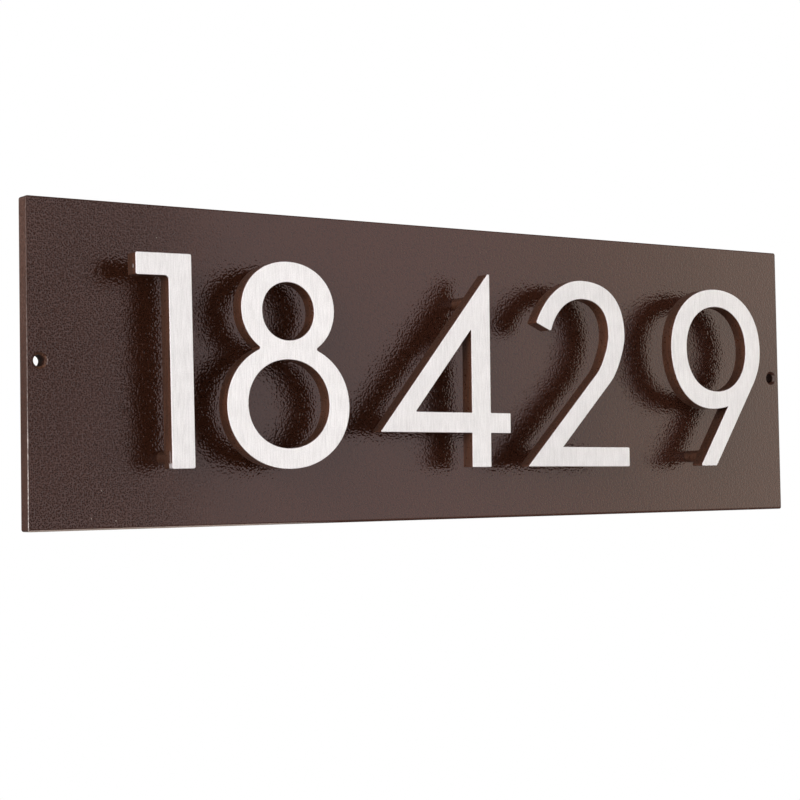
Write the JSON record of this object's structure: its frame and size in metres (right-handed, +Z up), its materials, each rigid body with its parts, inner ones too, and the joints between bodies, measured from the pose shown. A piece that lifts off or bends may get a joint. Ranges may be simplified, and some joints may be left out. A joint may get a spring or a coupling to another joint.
{
  "type": "house number plaque",
  "caption": "Long painted metal plaque that screws flat to a wall, with brushed metal numerals standing clear of it on short cast posts.",
  "frame": {"origin": "middle of the plate's back face, which lies on the wall", "axes": "+X along the plate to the right as the numerals are read, +Y into the wall, +Z up"},
  "size_m": [0.4826, 0.0286, 0.1524],
  "materials": {
    "brown_coat": "dark brown gloss powder coat with a fine orange-peel ripple",
    "numeral_metal": "bare brushed front face, dark brown painted sides, back and posts",
    "screw_steel": "zinc plated"
  },
  "bodies": {
    "root": {"back_plate": "brown_coat", "numeral_1": "numeral_metal", "numeral_8": "numeral_metal", "numeral_4": "numeral_metal", "numeral_2": "numeral_metal", "numeral_9": "numeral_metal", "fixing_screws": "screw_steel"}
  },
  "joints": []
}
